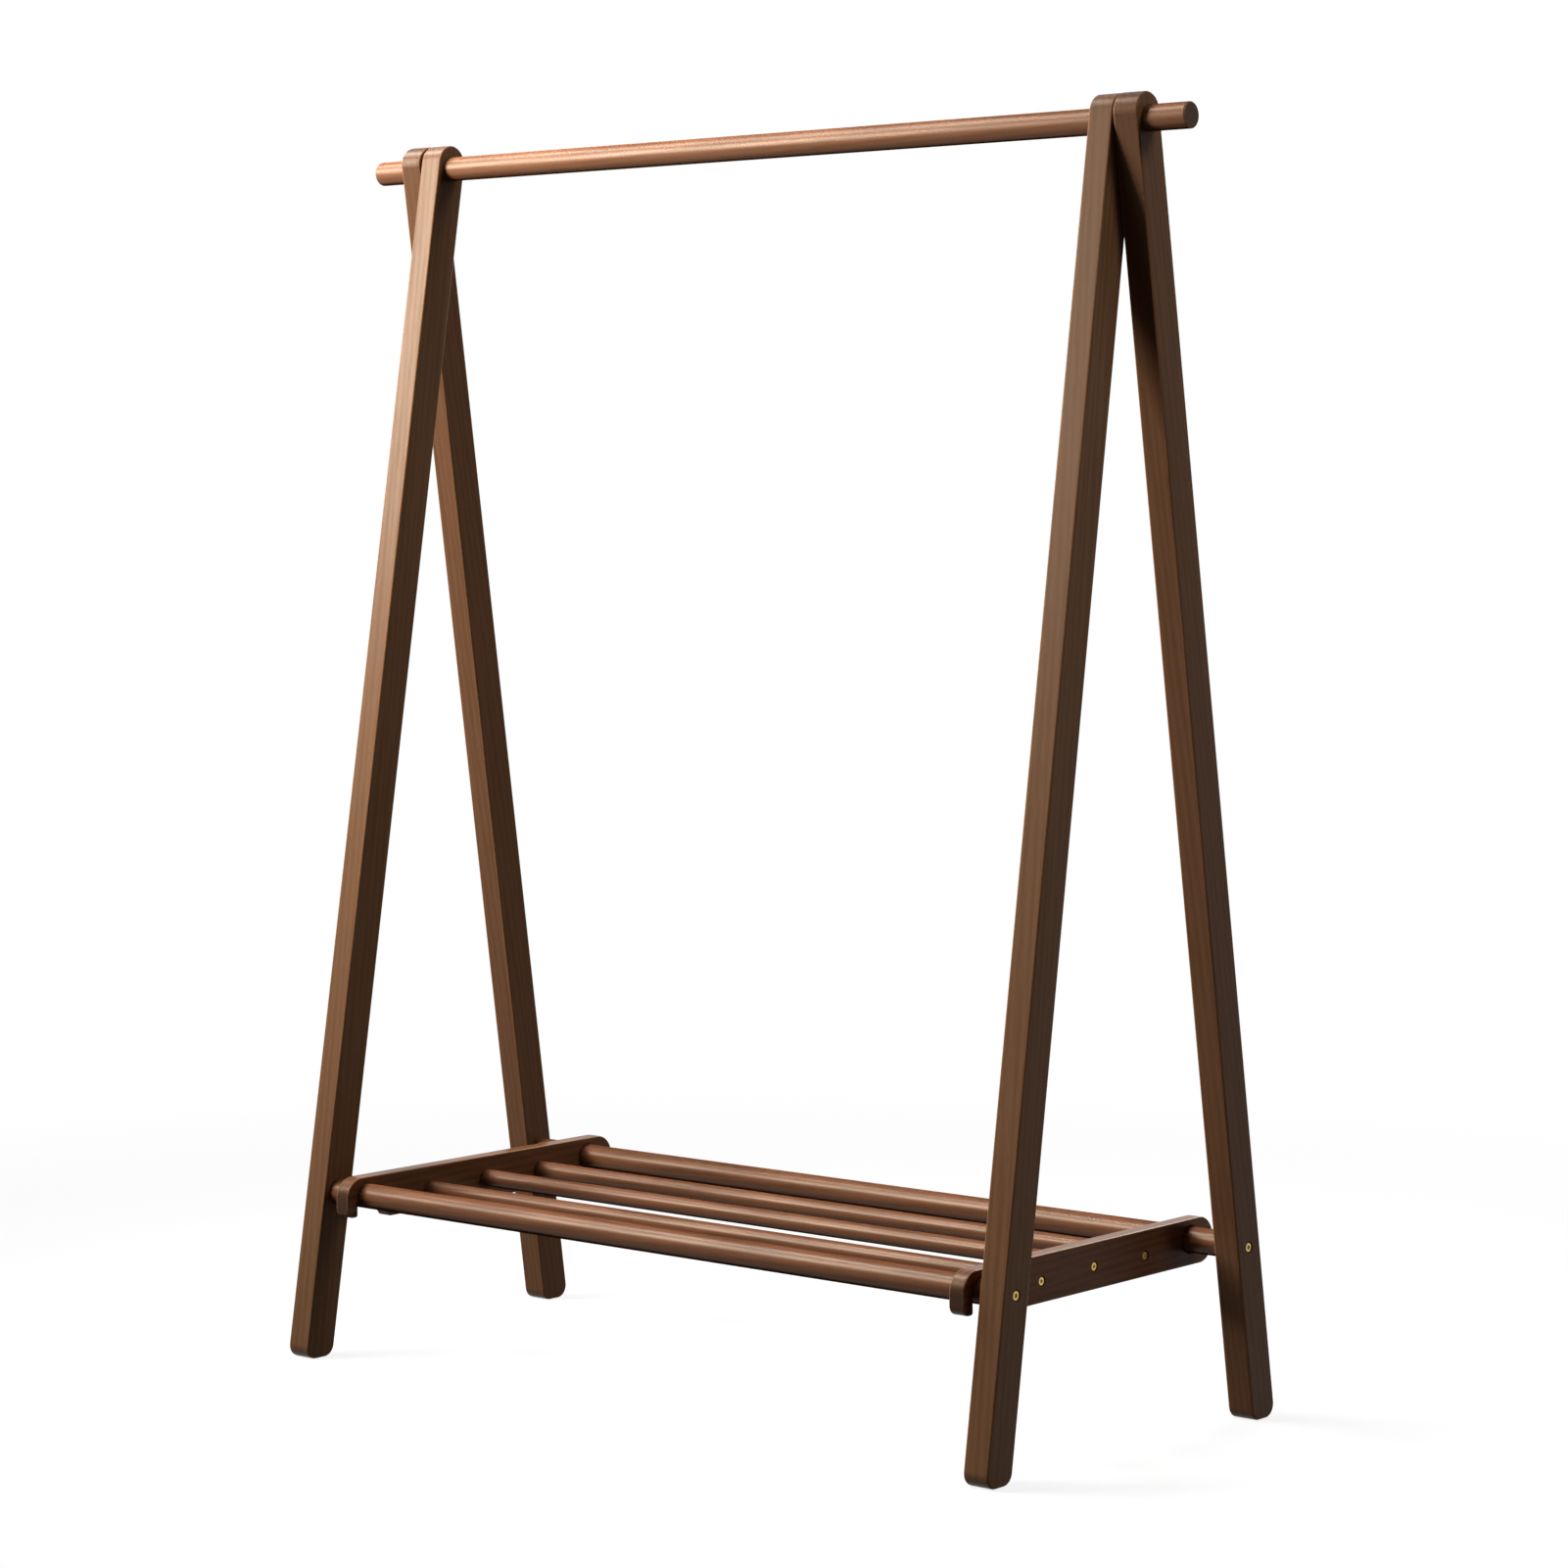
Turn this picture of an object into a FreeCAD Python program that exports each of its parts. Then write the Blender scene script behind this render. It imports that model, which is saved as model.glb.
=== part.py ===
import FreeCAD, Part
import math
import os
import re

import Sketcher
from FreeCAD import Placement, Rotation, Vector

# Folding clothes rack of stained wood: two pairs of legs that turn on one hanging rod,
# and a slatted shelf that pivots on the rear bar and hooks over the front bar.
# X runs along the rod, the front is towards -Y, Z is up and the floor is at Z = 0.

# Driving sizes in millimetres and degrees: name, value, meaning
SIZES = [
    ("rod_height", 1470.0, "axis of the hanging rod above the floor"),
    ("rod_diameter", 30.0, "hanging rod"),
    ("rod_length", 1250.0, "hanging rod from end to end"),
    ("rod_end_round", 2.0, "rounding of the rod's two ends"),
    ("leg_thickness", 33.0, "leg along X"),
    ("leg_depth", 45.0, "leg from its front face to its rear face"),
    ("leg_angle", 8.9, "lean of each leg from upright when the rack is open"),
    ("leg_top_reach", 7.5, "from the rod axis up to the centre of the leg's round top"),
    ("leg_edge_round", 2.5, "rounding of the long edges of a leg"),
    ("foot_round", 15.0, "rounding of the front and rear corners of a foot"),
    ("leg_gap", 1.0, "between a front leg and the rear leg beside it"),
    ("front_span", 1004.0, "clear width between the two front legs"),
    ("pivot_clearance", 0.1, "between the rod and a leg's bore, all round"),
    ("bar_height", 200.0, "axes of the front and rear bars above the floor"),
    ("bar_diameter", 30.0, "front and rear bars"),
    ("side_gap", 22.0, "between a front leg and a shelf side, with the shelf in the middle"),
    ("shelf_shift", 9.0, "how far the shelf is pushed along its bars to the right"),
    ("side_thickness", 20.0, "shelf side along X"),
    ("side_height", 53.0, "shelf side from its lower to its upper edge"),
    ("side_drop", 3.3, "middle of a shelf side below the line of the two bars"),
    ("side_tail", 20.0, "from the rear bar's axis back to the centre of a shelf side's round end"),
    ("side_edge_round", 2.0, "rounding of the long edges of a shelf side"),
    ("side_pivot_clearance", 0.5, "between the rear bar and its hole in a shelf side, all round"),
    ("side_hole_bevel", 1.5, "bevel at both mouths of that hole"),
    ("hook_clearance", 0.5, "between the front bar and the hook's seat"),
    ("hook_lip", 18.0, "wood in front of the hook's seat"),
    ("hook_mouth_angle", 56.0, "slope of the hook's rear wall, along the way the bar leaves"),
    ("hook_lip_rise", 5.5, "lower end of the lip above the shelf side's lower edge"),
    ("lip_front_round", 11.0, "rounding of the lip's lower front corner"),
    ("lip_rear_round", 3.0, "rounding of the lip's lower rear corner"),
    ("hook_rear_round", 5.0, "rounding of the lower corner behind the hook"),
    ("nose_round", 24.0, "rounding of the upper front corner of a shelf side"),
    ("slat_diameter", 21.0, "shelf slats"),
    ("slat_drop", 6.0, "outer slats below the line of the two bars"),
    ("slat_crown", 2.0, "middle slat above the outer slats"),
    ("slat_pitch", 99.0, "from one slat to the next"),
    ("slat_setback", 9.0, "middle slat behind the middle of the two bars"),
    ("bolt_diameter", 6.0, "bolts that hold a bar between two legs"),
    ("bolt_length", 50.0, "bolt under its head"),
    ("bolt_head_diameter", 10.0, "round bolt head"),
    ("bolt_head_height", 6.0, "round bolt head"),
    ("bolt_socket", 5.0, "hexagon socket across its flats"),
    ("bolt_socket_depth", 3.5, "hexagon socket"),
    ("bolt_recess_diameter", 13.0, "recess round a bolt head"),
    ("bolt_recess_depth", 7.0, "seat of a bolt head below the leg's face"),
    ("bolt_clearance", 0.25, "between a bolt or screw and its hole, all round"),
    ("insert_diameter", 10.0, "threaded insert in a bar's end"),
    ("insert_length", 20.0, "threaded insert"),
    ("thread_clearance", 0.05, "between a thread and what it is driven into, all round"),
    ("bore_spare", 3.0, "depth of a bore past the tip of its bolt or screw"),
    ("slat_screw_diameter", 5.0, "screws that hold the slats"),
    ("slat_screw_length", 45.0, "slat screw under its head"),
    ("slat_screw_head_diameter", 9.0, "round screw head"),
    ("slat_screw_head_height", 4.5, "round screw head"),
    ("slat_screw_socket", 4.0, "hexagon socket across its flats"),
    ("slat_screw_socket_depth", 2.5, "hexagon socket"),
    ("slat_recess_diameter", 12.0, "recess round a slat screw's head"),
    ("slat_recess_depth", 5.5, "seat of a slat screw's head below the side's face"),
    ("lock_screw_diameter", 4.0, "countersunk screws that lock the rod to the rear legs"),
    ("lock_screw_length", 22.0, "lock screw from its head's face to its tip"),
    ("lock_screw_head_diameter", 8.0, "countersunk head"),
    ("lock_screw_socket", 2.5, "hexagon socket across its flats"),
    ("lock_screw_socket_depth", 1.2, "hexagon socket"),
    ("screw_tip", 1.0, "bevel at the tip of a bolt or screw"),
    ("washer_diameter", 40.0, "washers on the rod between two legs"),
    ("washer_clearance", 0.2, "between a washer and the front leg that turns beside it"),
]

# Derived sizes, as expressions in the names above
LEG_HALF_DEPTH = "leg_depth / 2"
ROD_BORE_RADIUS = "(rod_diameter / 2 + pivot_clearance)"
FRONT_LEG_X = "(front_span / 2 + leg_thickness / 2)"
REAR_LEG_X = "(front_span / 2 + 1.5 * leg_thickness + leg_gap)"
REAR_SPAN = "(front_span + 2 * (leg_thickness + leg_gap))"
BAR_DROP = "((rod_height - bar_height) / cos(leg_angle))"
BAR_OFFSET = "((rod_height - bar_height) * tan(leg_angle))"
BAR_SPACING = f"(2 * {BAR_OFFSET})"
SIDE_X = "(front_span / 2 - side_gap - side_thickness / 2)"
SIDE_HALF_HEIGHT = "side_height / 2"
SIDE_DEPTH = "(side_height / 2 + side_drop)"
SLAT_LENGTH = "(front_span - 2 * side_gap - 2 * side_thickness)"
HOOK_RADIUS = "(bar_diameter / 2 + hook_clearance)"
NOSE_FRONT = f"({BAR_SPACING} + {HOOK_RADIUS} + hook_lip)"
BOLT_REACH = "(bolt_length - leg_thickness + bolt_recess_depth)"
SLAT_SCREW_REACH = "(slat_screw_length - side_thickness + slat_recess_depth)"
LOCK_SCREW_FACE = "(leg_depth / 2 - bolt_clearance)"
LOCK_SCREW_REACH = f"(rod_diameter / 2 - {LOCK_SCREW_FACE} + lock_screw_length)"

FRONT, REAR = 1, -1
LEFT, RIGHT = -1, 1
SIDE_NAMES = {LEFT: "left", RIGHT: "right"}
SLAT_NAMES = ("front", "middle", "rear")
TOUCH = 1e-4

doc = FreeCAD.newDocument("clothes_rack")
sheet = doc.addObject("Spreadsheet::Sheet", "Sizes")
for row, (alias, number, meaning) in enumerate(SIZES, start=1):
    sheet.set(f"A{row}", alias)
    sheet.set(f"B{row}", str(number))
    sheet.setAlias(f"B{row}", alias)
    sheet.set(f"C{row}", meaning)
doc.recompute()

ALIAS = re.compile(r"\b(" + "|".join(alias for alias, number, meaning in SIZES) + r")\b")


def sized(text):
    """The expression with each size name pointed at its cell."""
    return ALIAS.sub(r"Sizes.\1", text)


def value(text):
    """The number that an expression gives now."""
    return float(sheet.evalExpression(sized(text)))


def new_body(label):
    body = doc.addObject("PartDesign::Body", label)
    body.Label = label
    return body


def bind(target, **expressions):
    """Tie properties of an object to expressions, with __ for the dot in a property's path."""
    for path, text in expressions.items():
        target.setExpression(path.replace("__", "."), sized(text))


def place(body, x="0", y="0", z="0", turn=None, axis=Vector(1, 0, 0)):
    """Place a body, turned about an axis by an angle in degrees."""
    body.Placement = Placement(Vector(0, 0, 0), Rotation(axis, 1.0))
    bind(body, Placement__Base__x=x, Placement__Base__y=y, Placement__Base__z=z)
    bind(body, Placement__Rotation__Angle=f"({turn or 0}) * 1 deg")


def new_sketch(body, plane, offset=None):
    """A sketch on one of the body's own origin planes, moved along the plane's normal."""
    sketch = body.newObject("Sketcher::SketchObject", f"{body.Name}_sketch")
    support = next(item for item in body.Origin.OriginFeatures if item.Role == plane)
    sketch.AttachmentSupport = [(support, "")]
    sketch.MapMode = "FlatFace"
    if offset:
        bind(sketch, AttachmentOffset__Base__z=offset)
    return sketch


def dimension(sketch, kind, references, text):
    """A dimension whose value follows an expression."""
    unit = math.radians(1) if kind == "Angle" else 1.0
    index = sketch.addConstraint(Sketcher.Constraint(kind, *references, unit * value(text)))
    suffix = " * 1 deg" if kind == "Angle" else ""
    sketch.setExpression(f"Constraints[{index}]", f"({sized(text)}){suffix}")


def place_point(sketch, edge, end, x, y):
    """Fix one point of a sketch at the coordinates that two expressions give."""
    for kind, text, axis in (("DistanceX", x, -2), ("DistanceY", y, -1)):
        number = value(text)
        if abs(number) < TOUCH:
            sketch.addConstraint(Sketcher.Constraint("PointOnObject", edge, end, axis))
        elif number > 0:
            dimension(sketch, kind, (-1, 1, edge, end), text)
        else:
            dimension(sketch, kind, (edge, end, -1, 1), f"-({text})")


def outline(sketch, corners):
    """A closed outline of straight lines through corners given as expressions."""
    points = [Vector(value(x), value(y), 0) for x, y in corners]
    count = len(points)
    for index in range(count):
        sketch.addGeometry(Part.LineSegment(points[index], points[(index + 1) % count]))
    for index in range(count):
        sketch.addConstraint(Sketcher.Constraint("Coincident", index, 2, (index + 1) % count, 1))
    for index, (x, y) in enumerate(corners):
        place_point(sketch, index, 1, x, y)


def circle(sketch, x, y, radius):
    centre = Vector(value(x), value(y), 0)
    edge = sketch.addGeometry(Part.Circle(centre, Vector(0, 0, 1), value(radius)))
    place_point(sketch, edge, 3, x, y)
    dimension(sketch, "Radius", (edge,), radius)


def arc_and_walls(sketch, centre, radius, start, stop, corners):
    """An outline of an arc whose two ends run on into straight walls, closed by one line."""
    x, y = (value(text) for text in centre)
    ring = Part.Circle(Vector(x, y, 0), Vector(0, 0, 1), value(radius))
    arc = Part.ArcOfCircle(ring, math.radians(start), math.radians(stop))
    low_stop, low_start = (Vector(value(cx), value(cy), 0) for cx, cy in corners)
    sketch.addGeometry(arc)
    sketch.addGeometry(Part.LineSegment(arc.EndPoint, low_stop))
    sketch.addGeometry(Part.LineSegment(low_stop, low_start))
    sketch.addGeometry(Part.LineSegment(low_start, arc.StartPoint))
    sketch.addConstraint(Sketcher.Constraint("Tangent", 0, 2, 1, 1))
    sketch.addConstraint(Sketcher.Constraint("Coincident", 1, 2, 2, 1))
    sketch.addConstraint(Sketcher.Constraint("Coincident", 2, 2, 3, 1))
    sketch.addConstraint(Sketcher.Constraint("Tangent", 3, 2, 0, 1))
    place_point(sketch, 0, 3, *centre)
    dimension(sketch, "Radius", (0,), radius)


def pad(body, sketch, length):
    """A plate of the sketch's outline, half of it on each side of the sketch."""
    feature = body.newObject("PartDesign::Pad", f"{body.Name}_pad")
    feature.Profile = sketch
    feature.Midplane = True
    bind(feature, Length=length)
    doc.recompute()
    return feature


def revolve(body, sketch, axis="H_Axis"):
    feature = body.newObject("PartDesign::Revolution", f"{body.Name}_turned")
    feature.Profile = sketch
    feature.ReferenceAxis = (sketch, [axis])
    feature.Angle = 360.0
    doc.recompute()
    return feature


def cut(body, sketch, depth=None, reverse=False):
    """Cut the sketch's outline out of the body, right through or to a depth."""
    before = body.Shape.Volume
    feature = body.newObject("PartDesign::Pocket", f"{body.Name}_cut")
    feature.Profile = sketch
    if depth:
        feature.Type = "Length"
        feature.Reversed = reverse
        bind(feature, Length=depth)
    else:
        feature.Type = "ThroughAll"
        feature.Midplane = True
    doc.recompute()
    if body.Shape.Volume >= before - TOUCH:
        raise RuntimeError(f"a cut in {body.Label} removed nothing")
    return feature


def bore(body, sketch, radius, recess_radius, recess_depth, reverse):
    """A round hole right through with a flat-bottomed recess at its mouth."""
    before = body.Shape.Volume
    feature = body.newObject("PartDesign::Hole", f"{body.Name}_bore")
    feature.Profile = sketch
    feature.DepthType = "ThroughAll"
    feature.HoleCutType = "Counterbore"
    feature.HoleCutCustomValues = True
    feature.Reversed = reverse
    bind(feature, Diameter=f"2 * {radius}")
    bind(feature, HoleCutDiameter=f"2 * {recess_radius}", HoleCutDepth=recess_depth)
    doc.recompute()
    if body.Shape.Volume >= before - TOUCH:
        raise RuntimeError(f"a bore in {body.Label} removed nothing")
    return feature


def round_edges(body, feature, wanted, radius, kind="PartDesign::Fillet"):
    """Round, or bevel, the edges of a feature that a test picks."""
    names = [f"Edge{number}" for number, edge in enumerate(feature.Shape.Edges, start=1) if wanted(edge)]
    if not names:
        raise RuntimeError(f"no edge to round in {body.Label}")
    rounding = body.newObject(kind, f"{body.Name}_round")
    rounding.Base = (feature, names)
    bind(rounding, **{"Size" if kind.endswith("Chamfer") else "Radius": radius})
    doc.recompute()
    return rounding


def across_at(y, z):
    """A test for the edge that runs along X at one place of a side view."""
    def wanted(edge):
        return all(abs(corner.Y - y) < TOUCH and abs(corner.Z - z) < TOUCH for corner in edge.Vertexes)
    return wanted


def on_faces(half_thickness):
    """A test for the edges that bound the two flat faces square to X."""
    def wanted(edge):
        box = edge.BoundBox
        return box.XLength < TOUCH and abs(abs(box.XMin) - half_thickness) < TOUCH
    return wanted


def group(label, bodies):
    """Several alike pieces that make one node."""
    compound = doc.addObject("Part::Compound", label)
    compound.Label = label
    compound.Links = bodies
    return compound


def leg(label, facing, side):
    """A straight leg: round top over the rod, foot cut level with the floor, bolt recess outside."""
    body = new_body(label)
    sketch = new_sketch(body, "YZ_Plane")
    foot_drop = f"(rod_height + {facing} * {LEG_HALF_DEPTH} * sin(leg_angle)) / cos(leg_angle)"
    heel_drop = f"(rod_height - {facing} * {LEG_HALF_DEPTH} * sin(leg_angle)) / cos(leg_angle)"
    foot = [(f"-{LEG_HALF_DEPTH}", f"-{foot_drop}"), (LEG_HALF_DEPTH, f"-{heel_drop}")]
    arc_and_walls(sketch, ("0", "leg_top_reach"), LEG_HALF_DEPTH, 0, 180, foot)
    sketch.addConstraint(Sketcher.Constraint("Vertical", 1))
    sketch.addConstraint(Sketcher.Constraint("Vertical", 3))
    dimension(sketch, "DistanceY", (1, 2, -1, 1), foot_drop)
    dimension(sketch, "DistanceY", (3, 1, -1, 1), heel_drop)
    feature = pad(body, sketch, "leg_thickness")
    corners = [across_at(value(y), value(z)) for y, z in foot]
    feature = round_edges(body, feature, lambda edge: any(test(edge) for test in corners), "foot_round")
    round_edges(body, feature, on_faces(value("leg_thickness / 2")), "leg_edge_round")

    sketch = new_sketch(body, "YZ_Plane")
    circle(sketch, "0", "0", ROD_BORE_RADIUS)
    cut(body, sketch)
    sketch = new_sketch(body, "YZ_Plane", f"{side} * leg_thickness / 2")
    circle(sketch, "0", f"-{BAR_DROP}", "bolt_diameter / 2")
    hole_radius = "(bolt_diameter / 2 + bolt_clearance)"
    bore(body, sketch, hole_radius, "(bolt_recess_diameter / 2)", "bolt_recess_depth", side == LEFT)
    x = FRONT_LEG_X if facing == FRONT else REAR_LEG_X
    place(body, x=f"{side} * {x}", z="rod_height", turn=f"-{facing} * leg_angle")
    return body


def countersink_lock_hole(body):
    """The countersunk hole in the rear face of a rear leg, down to the rod."""
    sketch = new_sketch(body, "XY_Plane")
    shank = "(lock_screw_diameter / 2 + bolt_clearance)"
    head = "(lock_screw_head_diameter / 2 + bolt_clearance)"
    face = LEG_HALF_DEPTH
    corners = [("0", face), (head, face), (shank, f"{face} - {head} + {shank}"), (shank, "0"), ("0", "0")]
    outline(sketch, corners)
    before = body.Shape.Volume
    feature = body.newObject("PartDesign::Groove", f"{body.Name}_countersink")
    feature.Profile = sketch
    feature.ReferenceAxis = (sketch, ["V_Axis"])
    feature.Angle = 360.0
    doc.recompute()
    if body.Shape.Volume >= before - TOUCH:
        raise RuntimeError(f"the lock hole in {body.Label} removed nothing")


def hanging_rod():
    """A plain round rod with rounded ends and two pilot holes for its lock screws."""
    body = new_body("hanging_rod")
    sketch = new_sketch(body, "XY_Plane")
    end, radius = "rod_length / 2", "rod_diameter / 2"
    outline(sketch, [(f"-{end}", "0"), (f"-{end}", radius), (end, radius), (end, "0")])
    feature = revolve(body, sketch)
    round_edges(body, feature, lambda edge: edge.BoundBox.XLength < TOUCH, "rod_end_round")
    for side in (LEFT, RIGHT):
        sketch = new_sketch(body, "XZ_Plane", f"-{radius}")
        circle(sketch, f"{side} * {REAR_LEG_X}", "0", "lock_screw_diameter / 2 + thread_clearance")
        cut(body, sketch, f"{LOCK_SCREW_REACH} + bore_spare", reverse=True)
    place(body, z="rod_height", turn="leg_angle")
    return body


def turned_bar(label, length, radius, steps):
    """A round bar along X with the same stepped bore in each end.

    steps lists the bore's radii and the depth that each one reaches, from the mouth inwards.
    """
    body = new_body(label)
    sketch = new_sketch(body, "XY_Plane")
    end = f"{length} / 2"
    half = [(end, radius)]
    mouth = end
    for bore_radius, depth in steps:
        bottom = f"({end} - ({depth}))"
        half.append((mouth, bore_radius))
        half.append((bottom, bore_radius))
        mouth = bottom
    half.append((mouth, "0"))
    mirrored = [(f"-({x})", y) for x, y in reversed(half)]
    outline(sketch, half + mirrored)
    revolve(body, sketch)
    return body


def leg_bar(label, length, facing):
    """A bar between two legs, bored at each end for an insert and the bolt's tip."""
    tip_radius = "(bolt_diameter / 2 + bolt_clearance)"
    steps = [
        ("insert_diameter / 2", "insert_length"),
        (tip_radius, f"{BOLT_REACH} + bore_spare"),
    ]
    body = turned_bar(label, length, "bar_diameter / 2", steps)
    place(body, y=f"-{facing} * {BAR_OFFSET}", z="bar_height")
    return body


def slat(label, place_in_row):
    """A thin round slat, with a pilot hole at each end."""
    steps = [("slat_screw_diameter / 2 + thread_clearance", f"{SLAT_SCREW_REACH} + bore_spare")]
    body = turned_bar(label, SLAT_LENGTH, "slat_diameter / 2", steps)
    place(body, x="shelf_shift", y=slat_y(place_in_row), z=f"bar_height - {slat_fall(place_in_row)}")
    return body


def slat_fall(place_in_row):
    """How far a slat sits below the line of the two bars: the middle one is a little higher."""
    crown = "slat_crown" if SLAT_NAMES[place_in_row] == "middle" else "0"
    return f"(slat_drop - {crown})"


def slat_y(place_in_row):
    """Slats stand evenly, a little nearer to the rear bar than to the front bar."""
    steps = place_in_row - (len(SLAT_NAMES) - 1) / 2
    return f"({steps} * slat_pitch + slat_setback)"


def ring(label, hole_radius, radius, length):
    body = new_body(label)
    sketch = new_sketch(body, "YZ_Plane")
    circle(sketch, "0", "0", radius)
    circle(sketch, "0", "0", hole_radius)
    pad(body, sketch, length)
    return body


def socket(body, sketch, across_flats, depth, reverse=False):
    """A hexagon socket cut into a screw's head."""
    corner = f"{across_flats} / 2 / cos(30)"
    outline(sketch, [(f"{corner} * cos({60 * step})", f"{corner} * sin({60 * step})") for step in range(6)])
    cut(body, sketch, depth, reverse)


def cap_screw(label, size, side, seat_x, y, shift="0", fall="0"):
    """A round-headed screw that goes in towards the middle of the rack, along X.

    size is the part of the size names that tells bolts from slat screws.
    """
    body = new_body(label)
    sketch = new_sketch(body, "XY_Plane")
    head, shank = f"{size}_head_diameter / 2", f"{size}_diameter / 2"
    tip = f"-{size}_length"
    top = f"{size}_head_height"
    profile = [(tip, "0"), (tip, f"{shank} - screw_tip"), (f"{tip} + screw_tip", shank)]
    profile += [("0", shank), ("0", head), (top, head), (top, "0")]
    outline(sketch, profile)
    revolve(body, sketch)
    sketch = new_sketch(body, "YZ_Plane", top)
    socket(body, sketch, f"{size}_socket", f"{size}_socket_depth")
    turn = "180" if side == LEFT else "0"
    x = f"{side} * ({seat_x}) + {shift}"
    place(body, x=x, y=y, z=f"bar_height - {fall}", turn=turn, axis=Vector(0, 0, 1))
    return body


def lock_screw(label, side):
    """A countersunk screw through the rear of a rear leg into the rod."""
    body = new_body(label)
    sketch = new_sketch(body, "XY_Plane")
    head, shank = "lock_screw_head_diameter / 2", "lock_screw_diameter / 2"
    face = LOCK_SCREW_FACE
    tip = f"({face} - lock_screw_length)"
    profile = [("0", face), (head, face), (shank, f"{face} - {head} + {shank}")]
    profile += [(shank, f"{tip} + screw_tip"), (f"{shank} - screw_tip", tip), ("0", tip)]
    outline(sketch, profile)
    revolve(body, sketch, "V_Axis")
    sketch = new_sketch(body, "XZ_Plane", f"-{face}")
    socket(body, sketch, "lock_screw_socket", "lock_screw_socket_depth", reverse=True)
    place(body, x=f"{side} * {REAR_LEG_X}", z="rod_height", turn="leg_angle")
    return body


def shelf_side(label, side):
    """A shelf side: round rear end on the rear bar, hooked nose over the front bar."""
    body = new_body(label)
    top, low, front = f"({SIDE_HALF_HEIGHT} - side_drop)", f"-{SIDE_DEPTH}", f"-{NOSE_FRONT}"
    sketch = new_sketch(body, "YZ_Plane")
    tail = ("side_tail", "-side_drop")
    arc_and_walls(sketch, tail, SIDE_HALF_HEIGHT, -90, 90, [(front, top), (front, low)])
    sketch.addConstraint(Sketcher.Constraint("Horizontal", 1))
    sketch.addConstraint(Sketcher.Constraint("Vertical", 2))
    sketch.addConstraint(Sketcher.Constraint("Horizontal", 3))
    dimension(sketch, "DistanceX", (1, 2, -1, 1), NOSE_FRONT)
    pad(body, sketch, "side_thickness")

    # The hook's rear wall slopes back so that the bar leaves it as the shelf swings up
    below = f"({SIDE_DEPTH} + hook_rear_round)"
    wall_front = f"(-{BAR_SPACING} - {HOOK_RADIUS})"
    seat_corner = f"(-{BAR_SPACING} + {HOOK_RADIUS} * sin(hook_mouth_angle))"
    wall_drop = f"({HOOK_RADIUS} * cos(hook_mouth_angle)"
    wall_rear = f"({seat_corner} + {wall_drop} + {SIDE_DEPTH}) / tan(hook_mouth_angle))"
    mouth_rear = f"({seat_corner} + {wall_drop} + {below}) / tan(hook_mouth_angle))"
    sketch = new_sketch(body, "YZ_Plane")
    mouth = [(wall_front, f"-{below}"), (mouth_rear, f"-{below}")]
    seat = (f"-{BAR_SPACING}", "0")
    arc_and_walls(sketch, seat, HOOK_RADIUS, 90 - value("hook_mouth_angle"), 180, mouth)
    sketch.addConstraint(Sketcher.Constraint("Vertical", 1))
    sketch.addConstraint(Sketcher.Constraint("Horizontal", 2))
    dimension(sketch, "Angle", (3,), "180 - hook_mouth_angle")
    dimension(sketch, "DistanceY", (1, 2, -1, 1), below)
    cut(body, sketch)
    sketch = new_sketch(body, "YZ_Plane")
    lip_low = f"(hook_lip_rise - {SIDE_DEPTH})"
    past_nose = f"({front} - hook_lip)"
    under_lip = [(past_nose, lip_low), (past_nose, f"-{below}")]
    under_lip += [(f"-{BAR_SPACING}", f"-{below}"), (f"-{BAR_SPACING}", lip_low)]
    outline(sketch, under_lip)
    feature = cut(body, sketch)

    roundings = [
        (front, top, "nose_round"),
        (front, lip_low, "lip_front_round"),
        (wall_front, lip_low, "lip_rear_round"),
        (wall_rear, low, "hook_rear_round"),
    ]
    for y, z, radius in roundings:
        feature = round_edges(body, feature, across_at(value(y), value(z)), radius)
    round_edges(body, feature, on_faces(value("side_thickness / 2")), "side_edge_round")

    sketch = new_sketch(body, "YZ_Plane")
    hole_radius = "(bar_diameter / 2 + side_pivot_clearance)"
    circle(sketch, "0", "0", hole_radius)
    feature = cut(body, sketch)
    rim = value(hole_radius)
    on_rim = lambda edge: edge.BoundBox.XLength < TOUCH and abs(edge.BoundBox.YMax - rim) < TOUCH
    round_edges(body, feature, on_rim, "side_hole_bevel", "PartDesign::Chamfer")

    sketch = new_sketch(body, "YZ_Plane", f"{side} * side_thickness / 2")
    for place_in_row in range(len(SLAT_NAMES)):
        y, z = f"{slat_y(place_in_row)} - {BAR_OFFSET}", f"-{slat_fall(place_in_row)}"
        circle(sketch, y, z, "slat_screw_diameter / 2")
    shank = "(slat_screw_diameter / 2 + bolt_clearance)"
    bore(body, sketch, shank, "(slat_recess_diameter / 2)", "slat_recess_depth", side == LEFT)
    place(body, x=f"{side} * {SIDE_X} + shelf_shift", y=BAR_OFFSET, z="bar_height")
    return body


def frame_hardware(name, facing, span):
    """The bolts through one pair of legs and the inserts that they screw into."""
    y = f"-{facing} * {BAR_OFFSET}"
    bolts, inserts = [], []
    for side in (LEFT, RIGHT):
        seat = f"{span} / 2 + leg_thickness - bolt_recess_depth"
        bolts.append(cap_screw(f"{name}_bolt_{SIDE_NAMES[side]}", "bolt", side, seat, y))
        hole = "bolt_diameter / 2 + thread_clearance"
        insert = ring(f"{name}_insert_{SIDE_NAMES[side]}", hole, "insert_diameter / 2", "insert_length")
        place(insert, x=f"{side} * ({span} - insert_length) / 2", y=y, z="bar_height")
        inserts.append(insert)
    return [group(f"{name}_bar_bolts", bolts), group(f"{name}_bar_inserts", inserts)]


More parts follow.
